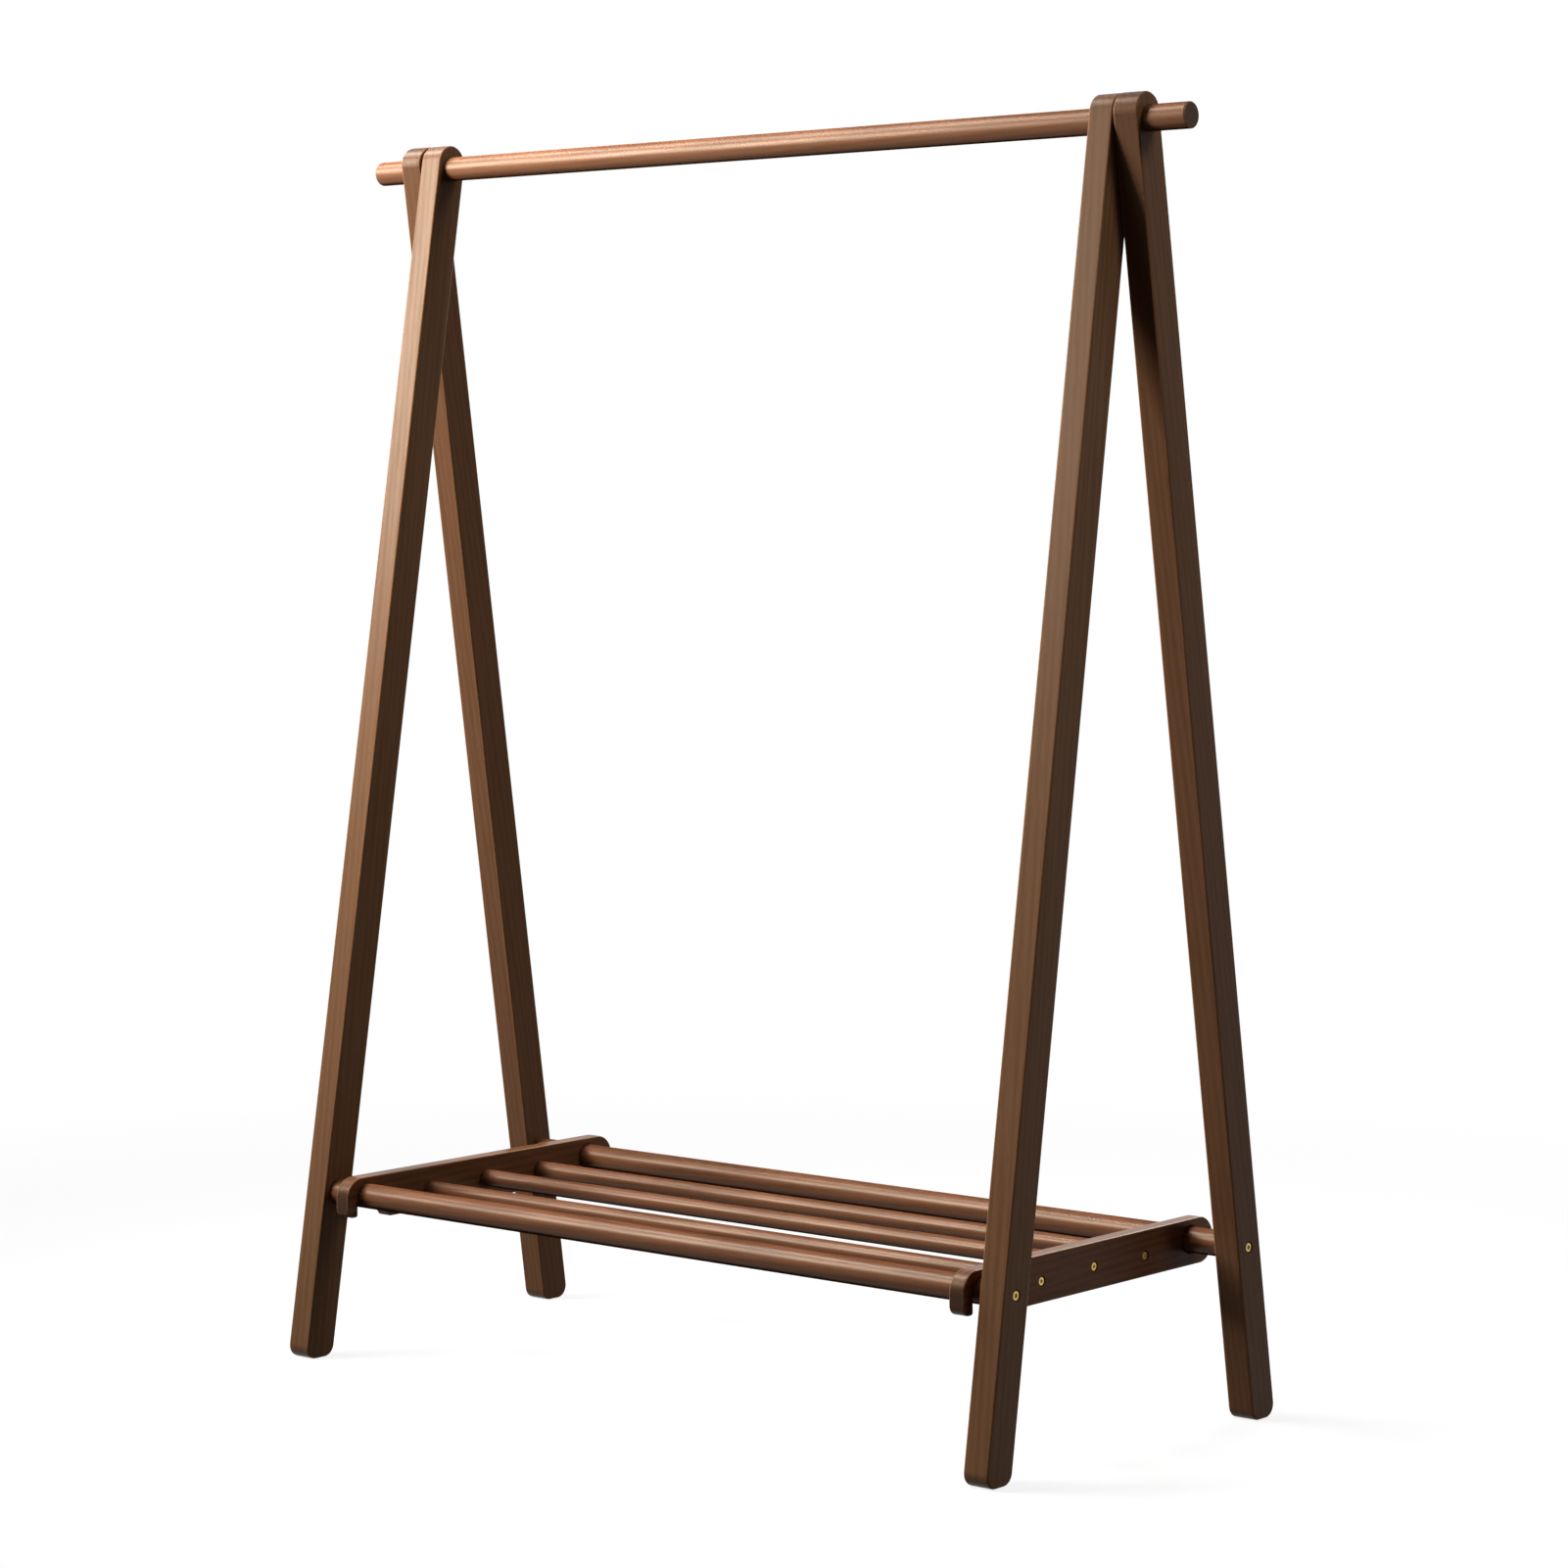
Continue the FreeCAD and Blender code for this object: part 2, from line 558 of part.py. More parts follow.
nodes = [hanging_rod()]
for side, side_name in SIDE_NAMES.items():
    nodes.append(leg(f"front_leg_{side_name}", FRONT, side))
    rear_leg = leg(f"rear_leg_{side_name}", REAR, side)
    countersink_lock_hole(rear_leg)
    nodes.append(rear_leg)

nodes.append(leg_bar("front_bar", "front_span", FRONT))
nodes.append(leg_bar("rear_bar", REAR_SPAN, REAR))
nodes += frame_hardware("front", FRONT, "front_span")
nodes += frame_hardware("rear", REAR, REAR_SPAN)

lock_screws, washers = [], []
for side, side_name in SIDE_NAMES.items():
    lock_screws.append(lock_screw(f"lock_screw_{side_name}", side))
    washer = ring(f"washer_{side_name}", ROD_BORE_RADIUS, "washer_diameter / 2", "leg_gap - washer_clearance")
    washer_x = "(front_span / 2 + leg_thickness + (leg_gap + washer_clearance) / 2)"
    place(washer, x=f"{side} * {washer_x}", z="rod_height")
    washers.append(washer)
nodes.append(group("rod_lock_screws", lock_screws))
nodes.append(group("pivot_washers", washers))

for place_in_row, slat_name in enumerate(SLAT_NAMES):
    nodes.append(slat(f"slat_{slat_name}", place_in_row))
for side, side_name in SIDE_NAMES.items():
    nodes.append(shelf_side(f"shelf_side_{side_name}", side))
    screws = []
    for place_in_row, slat_name in enumerate(SLAT_NAMES):
        seat = f"{SIDE_X} + side_thickness / 2 - slat_recess_depth"
        label = f"slat_screw_{slat_name}_{side_name}"
        y, fall = slat_y(place_in_row), slat_fall(place_in_row)
        screws.append(cap_screw(label, "slat_screw", side, seat, y, "shelf_shift", fall))
    nodes.append(group(f"slat_screws_{side_name}", screws))

doc.recompute()
for item in doc.Objects:
    if {"Invalid", "Error"} & set(item.State):
        raise RuntimeError(f"{item.Label} didn't build: {item.State}")
for node in nodes:
    if node.Shape.isNull() or not node.Shape.isValid():
        raise RuntimeError(f"{node.Label} has no sound shape")

os.makedirs("parts", exist_ok=True)
for node in nodes:
    node.Shape.exportStep(f"parts/{node.Label}.step")
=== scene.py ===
"""Finish, light and camera for a folding clothes rack.

The rack's pieces keep the shapes that the frame gives them. Each one gets its stained wood, brass,
steel or nylon here, and the stage adds a pale floor, softboxes and the camera.
"""
import math

import bmesh
import bpy
from bpy.props import FloatProperty, FloatVectorProperty, PointerProperty
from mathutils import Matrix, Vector

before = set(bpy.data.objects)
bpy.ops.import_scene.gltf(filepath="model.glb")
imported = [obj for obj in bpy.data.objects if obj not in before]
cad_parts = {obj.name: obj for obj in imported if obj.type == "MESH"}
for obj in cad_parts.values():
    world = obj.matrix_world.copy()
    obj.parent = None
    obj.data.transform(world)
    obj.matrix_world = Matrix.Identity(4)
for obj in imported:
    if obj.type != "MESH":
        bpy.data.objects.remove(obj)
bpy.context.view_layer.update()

bl_info = {
    "name": "Folding clothes rack finish",
    "version": (1, 0, 0),
    "blender": (4, 5, 0),
    "location": "View3D > Sidebar > Clothes rack",
    "description": "Stained beech, brass and a plain studio for a folding clothes rack",
    "category": "Object",
}

MM = 0.001
WHITE = (1.0, 1.0, 1.0)

# Pieces that share a finish.
FRONT_LEGS = ("front_leg_left", "front_leg_right")
REAR_LEGS = ("rear_leg_left", "rear_leg_right")
ROD = ("hanging_rod",)
BARS = ("front_bar", "rear_bar", "slat_front", "slat_middle", "slat_rear")
SHELF_SIDES = ("shelf_side_left", "shelf_side_right")
BRASS_SCREWS = ("front_bar_bolts", "rear_bar_bolts", "slat_screws_left", "slat_screws_right")
STEEL_PIECES = ("front_bar_inserts", "rear_bar_inserts", "rod_lock_screws")
WASHERS = ("pivot_washers",)

# Turns that lay the grain, which runs along the Z axis, along a piece.
LEG_LEAN = math.radians(8.9)
ALONG_FRONT_LEG = (-LEG_LEAN, 0.0, 0.0)
ALONG_REAR_LEG = (LEG_LEAN, 0.0, 0.0)
ALONG_ROUND_PIECE = (0.0, math.pi / 2, 0.0)
ALONG_SHELF_SIDE = (-math.pi / 2, 0.0, 0.0)

# Beech: how many times longer than wide its marks are, how much each pattern counts, the levels
# between which a pattern takes hold, and how far it goes.
LONG_MARK, SHORT_MARK = 22, 9
WAVE_PERIOD = 0.628  # of Blender's diagonal wave texture at scale 1, along X or Y
RING_SHARE, FIBRE_SHARE = 0.22, 0.30
TONE_LOW, TONE_HIGH = 0.30, 0.62
FLECK_LOW, FLECK_HIGH, FLECK_DEPTH = 0.60, 0.72, 0.45
END_LOW, END_HIGH = 0.75, 1.0
# The paler edges are partly sanding wear and partly a painted highlight on the rounded edges.
EDGE_LIGHT_LOW, EDGE_LIGHT_HIGH, EDGE_LIGHT_DEPTH = 0.02, 0.14, 0.65
FIBRE_HEIGHT = 0.25 * MM

# Satin lacquer: roughness over fibres that stand up and that lie flat, the levels of tone for
# these, the tint of its shine, and how far off the middle of a round piece it is dull.
LACQUER_ROUGH, LACQUER_SMOOTH = 0.37, 0.28
LACQUER_LOW, LACQUER_HIGH = 0.3, 0.7
LACQUER_TINT = "#F0D6B2"
DULL_RIM = 0.6

# Widths of the marks on brass, zinc and nylon, and how high they stand.
BRASS_PATCH, BRASS_SCRATCH = 2.5 * MM, 0.4 * MM
ZINC_CRYSTAL = 1.2 * MM
METAL_RELIEF = 0.05 * MM
NYLON_PATCH, NYLON_GRIT = 6 * MM, 0.5 * MM
NYLON_RELIEF = 0.1 * MM

# Floor: between these distances in metres it turns from nearly white to white.
FLOOR_NEAR, FLOOR_FAR = 0.8, 2.6
NEARLY_WHITE = 0.86
FLOOR_SIDES = 96

SENSOR_WIDTH = 36.0
VIEW_DEPTH = 200.0

# Softboxes: name, place and aim in metres, side in metres, power in watts, and the angle in degrees
# that the grid lets through. The main one stands in front of the left end, one above it lights the
# tops, a weak one far left draws the highlights of the shelf's round pieces, and two fill the right
# and the back.
LAMPS = (
    ("main_softbox", (-2.0, -1.75, 2.1), (-0.45, 0.0, 1.2), 1.2, 37.0, 76.0),
    ("top_softbox", (-1.2, -0.7, 3.2), (0.0, 0.0, 0.8), 1.2, 16.0, 70.0),
    ("shelf_softbox", (-2.2, -0.4, 3.0), (0.2, -0.2, 0.3), 0.9, 4.0, 40.0),
    ("right_softbox", (4.4, 1.0, 3.6), (-0.2, 0.0, 1.3), 1.6, 10.0, 50.0),
    ("back_softbox", (-0.6, 3.4, 2.4), (0.0, 0.0, 0.8), 1.6, 20.0, 75.0),
)


def linear(code):
    """Turns an sRGB hex colour into three linear values."""
    parts = (int(code[k:k + 2], 16) / 255 for k in (1, 3, 5))
    return tuple(v / 12.92 if v <= 0.04045 else ((v + 0.055) / 1.055) ** 2.4 for v in parts)


def colour_prop(name, description, code):
    """A colour that the user can change, given as sRGB hex."""
    return FloatVectorProperty(name=name, description=description, subtype="COLOR", size=3,
                               min=0, max=1, default=linear(code))


def length_prop(name, description, size):
    """A length that the user can change, in metres."""
    return FloatProperty(name=name, description=description, default=size, min=0.0001,
                         precision=4, subtype="DISTANCE", unit="LENGTH")


def share_prop(name, description, share):
    """A share from 0 to 1 that the user can change."""
    return FloatProperty(name=name, description=description, default=share, min=0, max=1,
                         subtype="FACTOR")


class RackWood(bpy.types.PropertyGroup):
    """Colours, grain and sheen of the stained beech."""

    front_colour: colour_prop("Front leg stain", "Walnut stain on the two front legs", "#664731")
    front_grain: colour_prop("Front leg grain", "Dark grain of the front legs", "#583C25")
    # The rear legs' deeper stain is painted shade, for fronts that lean down away from the light.
    rear_shaded_colour: colour_prop("Rear leg stain", "Deeper stain on the two rear legs", "#5D3E2A")
    rear_shaded_grain: colour_prop("Rear leg grain", "Dark grain of the rear legs", "#503520")
    # The rod's paler stain is painted light and the bars' deeper stain is painted shade: one wood,
    # lit more at the rod than on the shelf.
    rod_lit_colour: colour_prop("Rod stain", "Paler, warmer stain on the hanging rod", "#7D5339")
    rod_lit_grain: colour_prop("Rod grain", "Dark grain of the hanging rod", "#6C462E")
    bar_shaded_colour: colour_prop("Bar stain", "Warm stain on the bars and the slats", "#68412B")
    bar_shaded_grain: colour_prop("Bar grain", "Dark grain of the bars and the slats", "#543320")
    side_colour: colour_prop("Shelf side stain", "Stain on the two shelf sides", "#613D27")
    side_grain: colour_prop("Shelf side grain", "Dark grain of the shelf sides", "#4C2E1B")
    # Edge colour: partly sanding wear, partly a painted highlight along the rounded edges.
    edge_wear_and_highlight: colour_prop("Worn edge", "Thin stain along sanded edges", "#9A6C48")
    end_colour: colour_prop("End grain", "Cut ends, which drink the most stain", "#3C271A")
    front_sheen: share_prop("Front sheen", "Shine of flat pieces on fronts and tops", 0.10)
    side_sheen: share_prop("Side sheen", "Shine of flat pieces on their sides", 0.065)
    round_sheen: share_prop("Round sheen", "Shine of the rod, the bars and the slats", 0.38)
    streak_width: length_prop("Streak width", "Width of the broad bands of tone", 11 * MM)
    ring_spacing: length_prop("Ring spacing", "Distance between two growth rings", 10 * MM)
    fibre_width: length_prop("Fibre width", "Width of the fine lines along the grain", 1.6 * MM)
    fleck_width: length_prop("Fleck width", "Width of the short dark flecks", 1.3 * MM)


class RackMetal(bpy.types.PropertyGroup):
    """Colours of the screws, the inserts and the washers."""

    brass_colour: colour_prop("Brass", "Bright brass of the screw heads", "#D9BC74")
    brass_tarnish: colour_prop("Tarnished brass", "Brass that has dulled", "#A98A48")
    zinc_colour: colour_prop("Zinc", "Zinc plating on the hidden steel", "#BFC2C4")
    zinc_shade: colour_prop("Dull zinc", "Duller crystals in the plating", "#9A9EA2")
    nylon_colour: colour_prop("Nylon", "Black nylon of the washers", "#1B1714")
    nylon_bloom: colour_prop("Nylon bloom", "Greyer patches on the nylon", "#2A2521")


class RackStage(bpy.types.PropertyGroup):
    """Floor, light and camera."""

    floor_colour: colour_prop("Floor", "Pale floor under the rack", "#F4F3F1")
    floor_bounce: colour_prop("Floor bounce", "What the floor throws back, kept low", "#343230")
    floor_radius: length_prop("Floor radius", "Radius of the floor", 30.0)
    lamp_level: FloatProperty(name="Lamp level", description="Strength of all the lamps together",
                              default=1.0, min=0)
    room_light: FloatProperty(name="Room light", description="Even light from all sides",
                              default=0.06, min=0)
    camera_place: FloatVectorProperty(name="Camera place", description="Where the camera stands",
                                      subtype="TRANSLATION", unit="LENGTH",
                                      default=(3.1237, -3.6956, 1.0434))
    camera_turn: FloatProperty(name="Camera turn", subtype="ANGLE", unit="ROTATION",
                               description="Turn of the level camera about the upright axis",
                               default=0.6944)
    camera_lens: FloatProperty(name="Focal length", subtype="DISTANCE_CAMERA", unit="CAMERA",
                               description="Focal length for a 36 mm wide sensor",
                               default=93.43, min=1)
    camera_rise: FloatProperty(name="Camera shift", description="Upright shift of the lens",
                               default=-0.1774)


def add_node(tree, kind, inputs=None, **settings):
    """Adds a node with its settings, and sets or links its inputs."""
    node = tree.nodes.new(kind)
    for name, setting in settings.items():
        setattr(node, name, setting)
    for key, given in (inputs or {}).items():
        if isinstance(given, bpy.types.NodeSocket):
            tree.links.new(given, node.inputs[key])
        elif node.inputs[key].type == "RGBA":
            node.inputs[key].default_value = (*given, 1.0)
        else:
            node.inputs[key].default_value = given
    return node


def new_material(name):
    """An empty node material, and its tree."""
    material = bpy.data.materials.new(name)
    material.use_nodes = True
    material.node_tree.nodes.clear()
    return material, material.node_tree


def dress(names, material):
    """Gives the material to the frame's pieces."""
    for name in names:
        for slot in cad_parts[name].material_slots:
            slot.material = material


def beech_patterns(tree, place, turn, wood):
    """Streaks, fibres and flecks of beech, and the tone that streaks, rings and fibres make."""
    long_marks, short_marks = (
        add_node(tree, "ShaderNodeMapping",
                 {"Vector": place.outputs["Object"], "Rotation": turn,
                  "Scale": (MM, MM, stretch * MM)}, vector_type="TEXTURE").outputs[0]
        for stretch in (LONG_MARK, SHORT_MARK))

    # Sizes across the grain. Real rings, fibres and flecks are about a third as wide, too fine to
    # show here.
    streaks = add_node(tree, "ShaderNodeTexNoise",
                       {"Vector": long_marks, "Scale": MM / wood.streak_width,
                        "Detail": 3.0, "Roughness": 0.55, "Distortion": 0.4}).outputs["Fac"]
    rings = add_node(tree, "ShaderNodeTexWave",
                     {"Vector": long_marks, "Scale": WAVE_PERIOD * MM / wood.ring_spacing,
                      "Distortion": 5.0, "Detail": 2.0, "Detail Scale": 0.6},
                     bands_direction="DIAGONAL").outputs["Fac"]
    fibres = add_node(tree, "ShaderNodeTexNoise",
                      {"Vector": long_marks, "Scale": MM / wood.fibre_width,
                       "Detail": 2.0, "Roughness": 0.6}).outputs["Fac"]
    flecks = add_node(tree, "ShaderNodeTexNoise",
                      {"Vector": short_marks, "Scale": MM / wood.fleck_width,
                       "Detail": 1.0, "Roughness": 0.5}).outputs["Fac"]

    banded = add_node(tree, "ShaderNodeMix", {0: RING_SHARE, 2: streaks, 3: rings}).outputs[0]
    tone = add_node(tree, "ShaderNodeMix", {0: FIBRE_SHARE, 2: banded, 3: fibres}).outputs[0]
    return streaks, fibres, flecks, tone


def soak_ends(tree, place, turn, colour, wood):
    """Darkens the cut ends, whose open grain drinks more stain."""
    facing = add_node(tree, "ShaderNodeMapping",
                      {"Vector": place.outputs["Normal"],
                       "Rotation": tuple(-angle for angle in turn)}, vector_type="VECTOR")
    parts = add_node(tree, "ShaderNodeSeparateXYZ", {0: facing.outputs[0]})
    ends = add_node(tree, "ShaderNodeMath", {0: parts.outputs["Z"]}, operation="ABSOLUTE")
    soaked = add_node(tree, "ShaderNodeMapRange",
                      {"Value": ends.outputs[0], "From Min": END_LOW, "From Max": END_HIGH})
    return add_node(tree, "ShaderNodeMix", {0: soaked.outputs[0], 6: colour, 7: wood.end_colour},
                    data_type="RGBA").outputs[2]


def paint_edge_highlight_and_wear(tree, side, streaks, colour, wood):
    """Pales the rounded long edges in patches, partly for sanding wear and partly as a painted
    highlight.

    Side is 1 on the sides of a piece, 0 on its front and back, and in between on an edge.
    """
    rest = add_node(tree, "ShaderNodeMath", {0: 1.0, 1: side}, operation="SUBTRACT")
    edge = add_node(tree, "ShaderNodeMath", {0: side, 1: rest.outputs[0]}, operation="MULTIPLY")
    patches = add_node(tree, "ShaderNodeMath", {0: edge.outputs[0], 1: streaks},
                       operation="MULTIPLY")
    edge_light = add_node(tree, "ShaderNodeMapRange",
                    {"Value": patches.outputs[0], "From Min": EDGE_LIGHT_LOW, "From Max": EDGE_LIGHT_HIGH,
                     "To Max": EDGE_LIGHT_DEPTH})
    return add_node(tree, "ShaderNodeMix", {0: edge_light.outputs[0], 6: colour, 7: wood.edge_wear_and_highlight},
                    data_type="RGBA").outputs[2]


def stained_beech(name, stain, grain, turn, wood, flat=True):
    """Beech under a walnut stain and a satin lacquer.

    It gives the eye long soft bands of tone, faint growth rings and short dark flecks along the
    grain, darker ends where the stain soaks in, and on flat pieces paler edges, partly where the
    sanding thinned it and partly a painted highlight. The fronts of flat pieces and the middles of
    round ones shine most.
    """
    material, tree = new_material(name)
    place = add_node(tree, "ShaderNodeTexCoord")
    streaks, fibres, flecks, tone = beech_patterns(tree, place, turn, wood)

    # The tone runs from grain to stain, with the flecks as dark as the grain.
    spread = add_node(tree, "ShaderNodeMapRange",
                      {"Value": tone, "From Min": TONE_LOW, "From Max": TONE_HIGH},
                      interpolation_type="SMOOTHSTEP")
    body = add_node(tree, "ShaderNodeMix", {0: spread.outputs[0], 6: grain, 7: stain},
                    data_type="RGBA")
    fleck = add_node(tree, "ShaderNodeMapRange",
                     {"Value": flecks, "From Min": FLECK_LOW, "From Max": FLECK_HIGH,
                      "To Max": FLECK_DEPTH})
    flecked = add_node(tree, "ShaderNodeMix", {0: fleck.outputs[0], 6: body.outputs[2], 7: grain},
                       data_type="RGBA")
    colour = soak_ends(tree, place, turn, flecked.outputs[2], wood)

    if flat:
        # Hands rub the fronts and tops, so the sides shine less.
        normal = add_node(tree, "ShaderNodeSeparateXYZ", {0: place.outputs["Normal"]})
        side = add_node(tree, "ShaderNodeMath", {0: normal.outputs["X"]},
                        operation="ABSOLUTE").outputs[0]
        shine = add_node(tree, "ShaderNodeMapRange",
                         {"Value": side, "To Min": wood.front_sheen, "To Max": wood.side_sheen})
        # Paler edges: partly sanding wear, partly a painted highlight.
        colour = paint_edge_highlight_and_wear(tree, side, streaks, colour, wood)
    else:
        # A rubbed round bar shines in the middle and is dull at its rims.
        rim = add_node(tree, "ShaderNodeLayerWeight", {"Blend": 0.5})
        shine = add_node(tree, "ShaderNodeMapRange",
                         {"Value": rim.outputs["Facing"], "From Max": DULL_RIM,
                          "To Min": wood.round_sheen, "To Max": 0.0})

    # The lacquer is a little rougher over the fibres, which stand up under it.
    roughness = add_node(tree, "ShaderNodeMapRange",
                         {"Value": tone, "From Min": LACQUER_LOW, "From Max": LACQUER_HIGH,
                          "To Min": LACQUER_ROUGH, "To Max": LACQUER_SMOOTH})
    relief = add_node(tree, "ShaderNodeBump",
                      {"Height": fibres, "Strength": 0.25, "Distance": FIBRE_HEIGHT})
    surface = add_node(tree, "ShaderNodeBsdfPrincipled",
                       {"Base Color": colour, "Roughness": roughness.outputs[0], "IOR": 1.5,
                        "Specular IOR Level": shine.outputs[0],
                        "Specular Tint": linear(LACQUER_TINT), "Normal": relief.outputs[0]})
    add_node(tree, "ShaderNodeOutputMaterial", {"Surface": surface.outputs[0]})
    return material


def turned_brass(metal):
    """Turned solid brass: warm bright metal with fine dull patches from handling."""
    material, tree = new_material("turned_brass")
    place = add_node(tree, "ShaderNodeTexCoord")
    patches = add_node(tree, "ShaderNodeTexNoise",
                       {"Vector": place.outputs["Object"], "Scale": 1 / BRASS_PATCH,
                        "Detail": 3.0})
    scratches = add_node(tree, "ShaderNodeTexNoise",
                         {"Vector": place.outputs["Object"], "Scale": 1 / BRASS_SCRATCH,
                          "Detail": 1.0})
    colour = add_node(tree, "ShaderNodeMix",
                      {0: patches.outputs["Fac"], 6: metal.brass_tarnish, 7: metal.brass_colour},
                      data_type="RGBA")
    roughness = add_node(tree, "ShaderNodeMapRange",
                         {"Value": patches.outputs["Fac"], "To Min": 0.42, "To Max": 0.22})
    relief = add_node(tree, "ShaderNodeBump",
                      {"Height": scratches.outputs["Fac"], "Strength": 0.2,
                       "Distance": METAL_RELIEF})
    surface = add_node(tree, "ShaderNodeBsdfPrincipled",
                       {"Base Color": colour.outputs[2], "Metallic": 1.0,
                        "Roughness": roughness.outputs[0], "Normal": relief.outputs[0]})
    add_node(tree, "ShaderNodeOutputMaterial", {"Surface": surface.outputs[0]})
    return material


def zinc_plated_steel(metal):
    """Bright zinc plating: cool grey metal with a fine crystal mottle."""
    material, tree = new_material("zinc_plated_steel")
    place = add_node(tree, "ShaderNodeTexCoord")
    crystals = add_node(tree, "ShaderNodeTexVoronoi",
                        {"Vector": place.outputs["Object"], "Scale": 1 / ZINC_CRYSTAL})
    colour = add_node(tree, "ShaderNodeMix",
                      {0: crystals.outputs["Distance"], 6: metal.zinc_colour,
                       7: metal.zinc_shade}, data_type="RGBA")
    roughness = add_node(tree, "ShaderNodeMapRange",
                         {"Value": crystals.outputs["Distance"], "To Min": 0.28, "To Max": 0.44})
    relief = add_node(tree, "ShaderNodeBump",
                      {"Height": crystals.outputs["Distance"], "Strength": 0.15,
                       "Distance": METAL_RELIEF})
    surface = add_node(tree, "ShaderNodeBsdfPrincipled",
                       {"Base Color": colour.outputs[2], "Metallic": 1.0,
                        "Roughness": roughness.outputs[0], "Normal": relief.outputs[0]})
    add_node(tree, "ShaderNodeOutputMaterial", {"Surface": surface.outputs[0]})
    return material


def moulded_nylon(metal):
    """Moulded black nylon: matt, with a faint grey bloom and a fine grit from the mould."""
    material, tree = new_material("moulded_nylon")
    place = add_node(tree, "ShaderNodeTexCoord")
    bloom = add_node(tree, "ShaderNodeTexNoise",
                     {"Vector": place.outputs["Object"], "Scale": 1 / NYLON_PATCH, "Detail": 2.0})
    grit = add_node(tree, "ShaderNodeTexNoise",
                    {"Vector": place.outputs["Object"], "Scale": 1 / NYLON_GRIT})
    colour = add_node(tree, "ShaderNodeMix",
                      {0: bloom.outputs["Fac"], 6: metal.nylon_colour, 7: metal.nylon_bloom},
                      data_type="RGBA")
    roughness = add_node(tree, "ShaderNodeMapRange",
                         {"Value": bloom.outputs["Fac"], "To Min": 0.5, "To Max": 0.65})
    relief = add_node(tree, "ShaderNodeBump",
                      {"Height": grit.outputs["Fac"], "Strength": 0.3, "Distance": NYLON_RELIEF})
    surface = add_node(tree, "ShaderNodeBsdfPrincipled",
                       {"Base Color": colour.outputs[2], "Roughness": roughness.outputs[0],
                        "IOR": 1.53, "Specular IOR Level": 0.3, "Normal": relief.outputs[0]})
    add_node(tree, "ShaderNodeOutputMaterial", {"Surface": surface.outputs[0]})
    return material


class RACK_OT_legs(bpy.types.Operator):
    """Stain the four legs, with the grain along each leg's lean"""

    bl_idname = "rack.legs"
    bl_label = "Finish legs"

    def execute(self, context):
        wood = context.scene.rack_wood
        dress(FRONT_LEGS, stained_beech("front_leg_beech", wood.front_colour, wood.front_grain,
                                        ALONG_FRONT_LEG, wood))
        # The rear legs get a darker copy of the leg stain: painted shade on their downward-leaning
        # fronts.
        dress(REAR_LEGS, stained_beech("rear_leg_beech", wood.rear_shaded_colour, wood.rear_shaded_grain,
                                       ALONG_REAR_LEG, wood))
        return {"FINISHED"}


class RACK_OT_round_pieces(bpy.types.Operator):
    """Stain the hanging rod, the two bars and the three slats, with the grain along their length"""

    bl_idname = "rack.round_pieces"
    bl_label = "Finish rod, bars and slats"

    def execute(self, context):
        wood = context.scene.rack_wood
        # One wood in two copies: painted light on the paler rod, painted shade on the darker bars
        # and slats.
        dress(ROD, stained_beech("rod_beech", wood.rod_lit_colour, wood.rod_lit_grain,
                                 ALONG_ROUND_PIECE, wood, flat=False))
        dress(BARS, stained_beech("bar_beech", wood.bar_shaded_colour, wood.bar_shaded_grain,
                                  ALONG_ROUND_PIECE, wood, flat=False))
        return {"FINISHED"}


class RACK_OT_shelf_sides(bpy.types.Operator):
    """Stain the two hooked shelf sides, with the grain from front to back"""

    bl_idname = "rack.shelf_sides"
    bl_label = "Finish shelf sides"

    def execute(self, context):
        wood = context.scene.rack_wood
        dress(SHELF_SIDES, stained_beech("shelf_side_beech", wood.side_colour, wood.side_grain,
                                         ALONG_SHELF_SIDE, wood))
        return {"FINISHED"}


class RACK_OT_brass_screws(bpy.types.Operator):
    """Make the leg bolts and the slat screws brass"""

    bl_idname = "rack.brass_screws"
    bl_label = "Finish brass screws"

    def execute(self, context):
        dress(BRASS_SCREWS, turned_brass(context.scene.rack_metal))
        return {"FINISHED"}


class RACK_OT_steel_pieces(bpy.types.Operator):
    """Plate the bar inserts and the rod's lock screws"""

    bl_idname = "rack.steel_pieces"
    bl_label = "Finish inserts and lock screws"

    def execute(self, context):
        dress(STEEL_PIECES, zinc_plated_steel(context.scene.rack_metal))
        return {"FINISHED"}


class RACK_OT_washers(bpy.types.Operator):
    """Make the washers between the leg tops black nylon"""

    bl_idname = "rack.washers"
    bl_label = "Finish washers"

    def execute(self, context):
        dress(WASHERS, moulded_nylon(context.scene.rack_metal))
        return {"FINISHED"}


def seen_directly(tree):
    """One for rays from the camera, a mirror or glass, zero for light that falls on the rack."""
    path = add_node(tree, "ShaderNodeLightPath")
    mirrored = add_node(tree, "ShaderNodeMath",
                        {0: path.outputs["Is Camera Ray"], 1: path.outputs["Is Glossy Ray"]},
                        operation="MAXIMUM")
    return add_node(tree, "ShaderNodeMath",
                    {0: mirrored.outputs[0], 1: path.outputs["Is Transmission Ray"]},
                    operation="MAXIMUM").outputs[0]


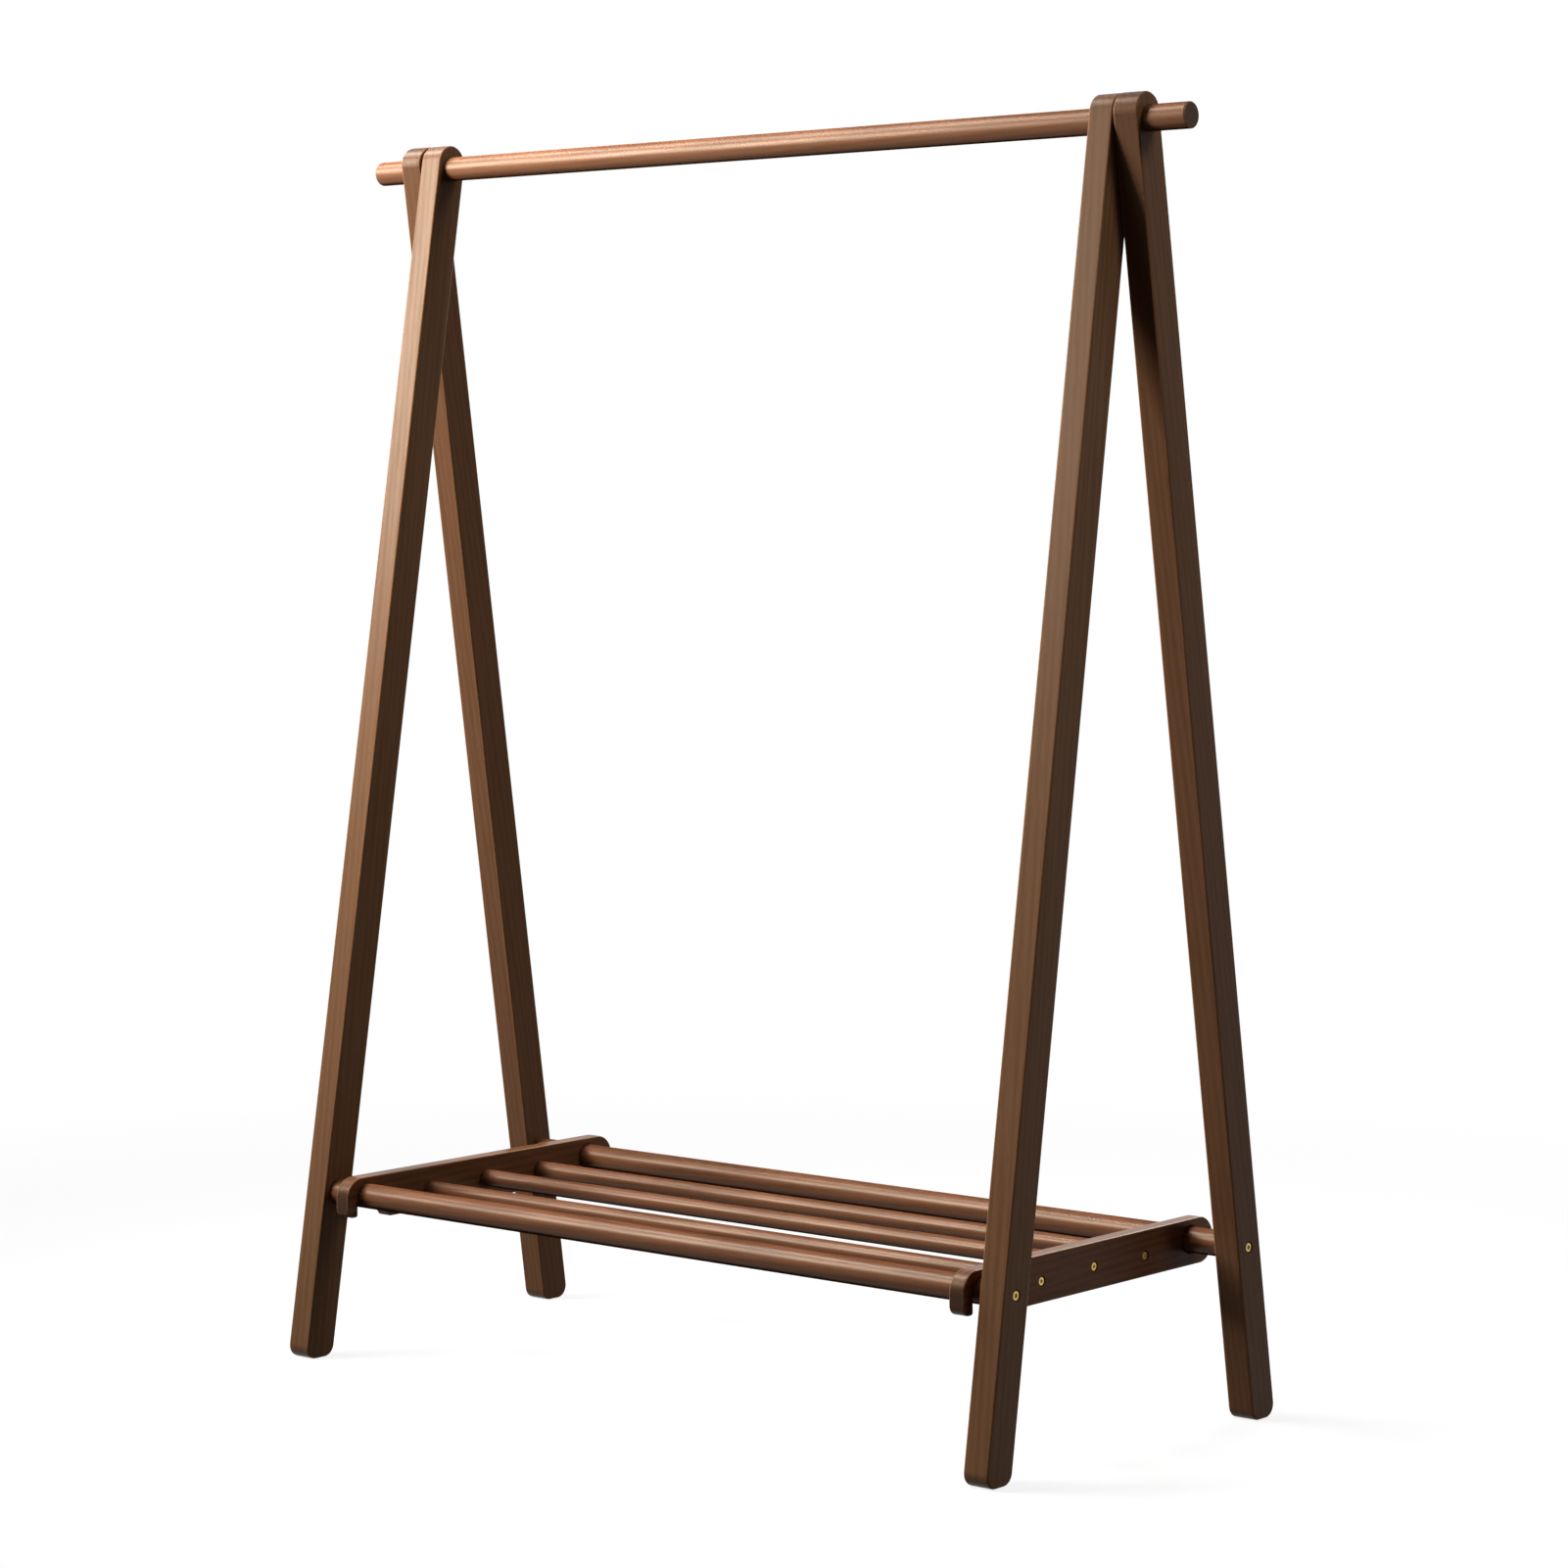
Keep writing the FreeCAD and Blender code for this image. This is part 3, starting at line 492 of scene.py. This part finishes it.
class RACK_OT_stage(bpy.types.Operator):
    """Add the floor, the softboxes, the room light and the camera"""

    bl_idname = "rack.stage"
    bl_label = "Set the stage"

    def execute(self, context):
        stage = context.scene.rack_stage
        self.add_floor(context, stage)
        for name, place, aim, side, power, angle in LAMPS:
            self.add_lamp(context, name, Vector(place), Vector(aim), side,
                          power * stage.lamp_level, math.radians(angle))
        self.add_room_light(context, stage)
        self.add_camera(context, stage)
        context.scene.view_settings.view_transform = "Standard"
        return {"FINISHED"}

    def add_floor(self, context, stage):
        """Pale matt floor that turns white away from the rack, and keeps the rack's soft shadow."""
        material, tree = new_material("pale_floor")
        place = add_node(tree, "ShaderNodeTexCoord")
        far = add_node(tree, "ShaderNodeVectorMath", {0: place.outputs["Object"]},
                       operation="LENGTH")
        fade = add_node(tree, "ShaderNodeMapRange",
                        {"Value": far.outputs["Value"], "From Min": FLOOR_NEAR,
                         "From Max": FLOOR_FAR, "To Min": NEARLY_WHITE, "To Max": 1.0},
                        interpolation_type="SMOOTHSTEP")
        direct = seen_directly(tree)
        amount = add_node(tree, "ShaderNodeMath", {0: direct, 1: fade.outputs[0]},
                          operation="MULTIPLY")
        shade = add_node(tree, "ShaderNodeMix",
                         {0: direct, 6: stage.floor_bounce, 7: stage.floor_colour},
                         data_type="RGBA")
        matt = add_node(tree, "ShaderNodeBsdfDiffuse", {"Color": shade.outputs[2]})
        white = add_node(tree, "ShaderNodeEmission", {"Color": WHITE, "Strength": 1.0})
        surface = add_node(tree, "ShaderNodeMixShader",
                           {0: amount.outputs[0], 1: matt.outputs[0], 2: white.outputs[0]})
        add_node(tree, "ShaderNodeOutputMaterial", {"Surface": surface.outputs[0]})

        mesh = bpy.data.meshes.new("floor")
        shape = bmesh.new()
        bmesh.ops.create_circle(shape, cap_ends=True, segments=FLOOR_SIDES,
                                radius=stage.floor_radius)
        shape.to_mesh(mesh)
        shape.free()
        mesh.materials.append(material)
        floor = bpy.data.objects.new("floor", mesh)
        context.scene.collection.objects.link(floor)

    def add_lamp(self, context, name, place, aim, side, power, spread):
        """Square softbox that points at a place on the rack."""
        lamp = bpy.data.lights.new(name, "AREA")
        lamp.shape = "SQUARE"
        lamp.size = side
        lamp.energy = power
        lamp.spread = spread
        softbox = bpy.data.objects.new(name, lamp)
        softbox.location = place
        softbox.rotation_euler = (aim - place).to_track_quat("-Z", "Y").to_euler()
        softbox.visible_camera = False
        context.scene.collection.objects.link(softbox)

    def add_room_light(self, context, stage):
        """Even room light, behind a white background."""
        world = bpy.data.worlds.new("room")
        world.use_nodes = True
        tree = world.node_tree
        tree.nodes.clear()
        room = add_node(tree, "ShaderNodeBackground",
                        {"Color": WHITE, "Strength": stage.room_light})
        white = add_node(tree, "ShaderNodeBackground", {"Color": WHITE, "Strength": 1.0})
        mixed = add_node(tree, "ShaderNodeMixShader",
                         {0: seen_directly(tree), 1: room.outputs[0], 2: white.outputs[0]})
        add_node(tree, "ShaderNodeOutputWorld", {"Surface": mixed.outputs[0]})
        context.scene.world = world

    def add_camera(self, context, stage):
        """Level camera, front right of the rack, framed for a square picture."""
        lens = bpy.data.cameras.new("camera")
        lens.sensor_width = SENSOR_WIDTH
        lens.lens = stage.camera_lens
        lens.shift_y = stage.camera_rise
        lens.clip_end = VIEW_DEPTH
        camera = bpy.data.objects.new("camera", lens)
        camera.location = stage.camera_place
        camera.rotation_euler = (math.pi / 2, 0.0, stage.camera_turn)
        context.scene.collection.objects.link(camera)
        context.scene.camera = camera


STEPS = (RACK_OT_legs, RACK_OT_round_pieces, RACK_OT_shelf_sides, RACK_OT_brass_screws,
         RACK_OT_steel_pieces, RACK_OT_washers, RACK_OT_stage)


class RACK_PT_finish(bpy.types.Panel):
    """Sizes and colours of the rack's finish, and the steps that apply them"""

    bl_idname = "RACK_PT_finish"
    bl_label = "Clothes rack"
    bl_space_type = "VIEW_3D"
    bl_region_type = "UI"
    bl_category = "Clothes rack"

    def draw(self, context):
        scene = context.scene
        for group in (scene.rack_wood, scene.rack_metal, scene.rack_stage):
            box = self.layout.box()
            for name in group.__annotations__:
                box.prop(group, name)
        for step in STEPS:
            self.layout.operator(step.bl_idname)


CLASSES = (RackWood, RackMetal, RackStage) + STEPS + (RACK_PT_finish,)


def register():
    for cls in CLASSES:
        bpy.utils.register_class(cls)
    bpy.types.Scene.rack_wood = PointerProperty(type=RackWood)
    bpy.types.Scene.rack_metal = PointerProperty(type=RackMetal)
    bpy.types.Scene.rack_stage = PointerProperty(type=RackStage)


def unregister():
    del bpy.types.Scene.rack_stage
    del bpy.types.Scene.rack_metal
    del bpy.types.Scene.rack_wood
    for cls in reversed(CLASSES):
        bpy.utils.unregister_class(cls)


def main():
    register()
    bpy.ops.rack.legs()
    bpy.ops.rack.round_pieces()
    bpy.ops.rack.shelf_sides()
    bpy.ops.rack.brass_screws()
    bpy.ops.rack.steel_pieces()
    bpy.ops.rack.washers()
    bpy.ops.rack.stage()


if __name__ == "__main__":
    main()
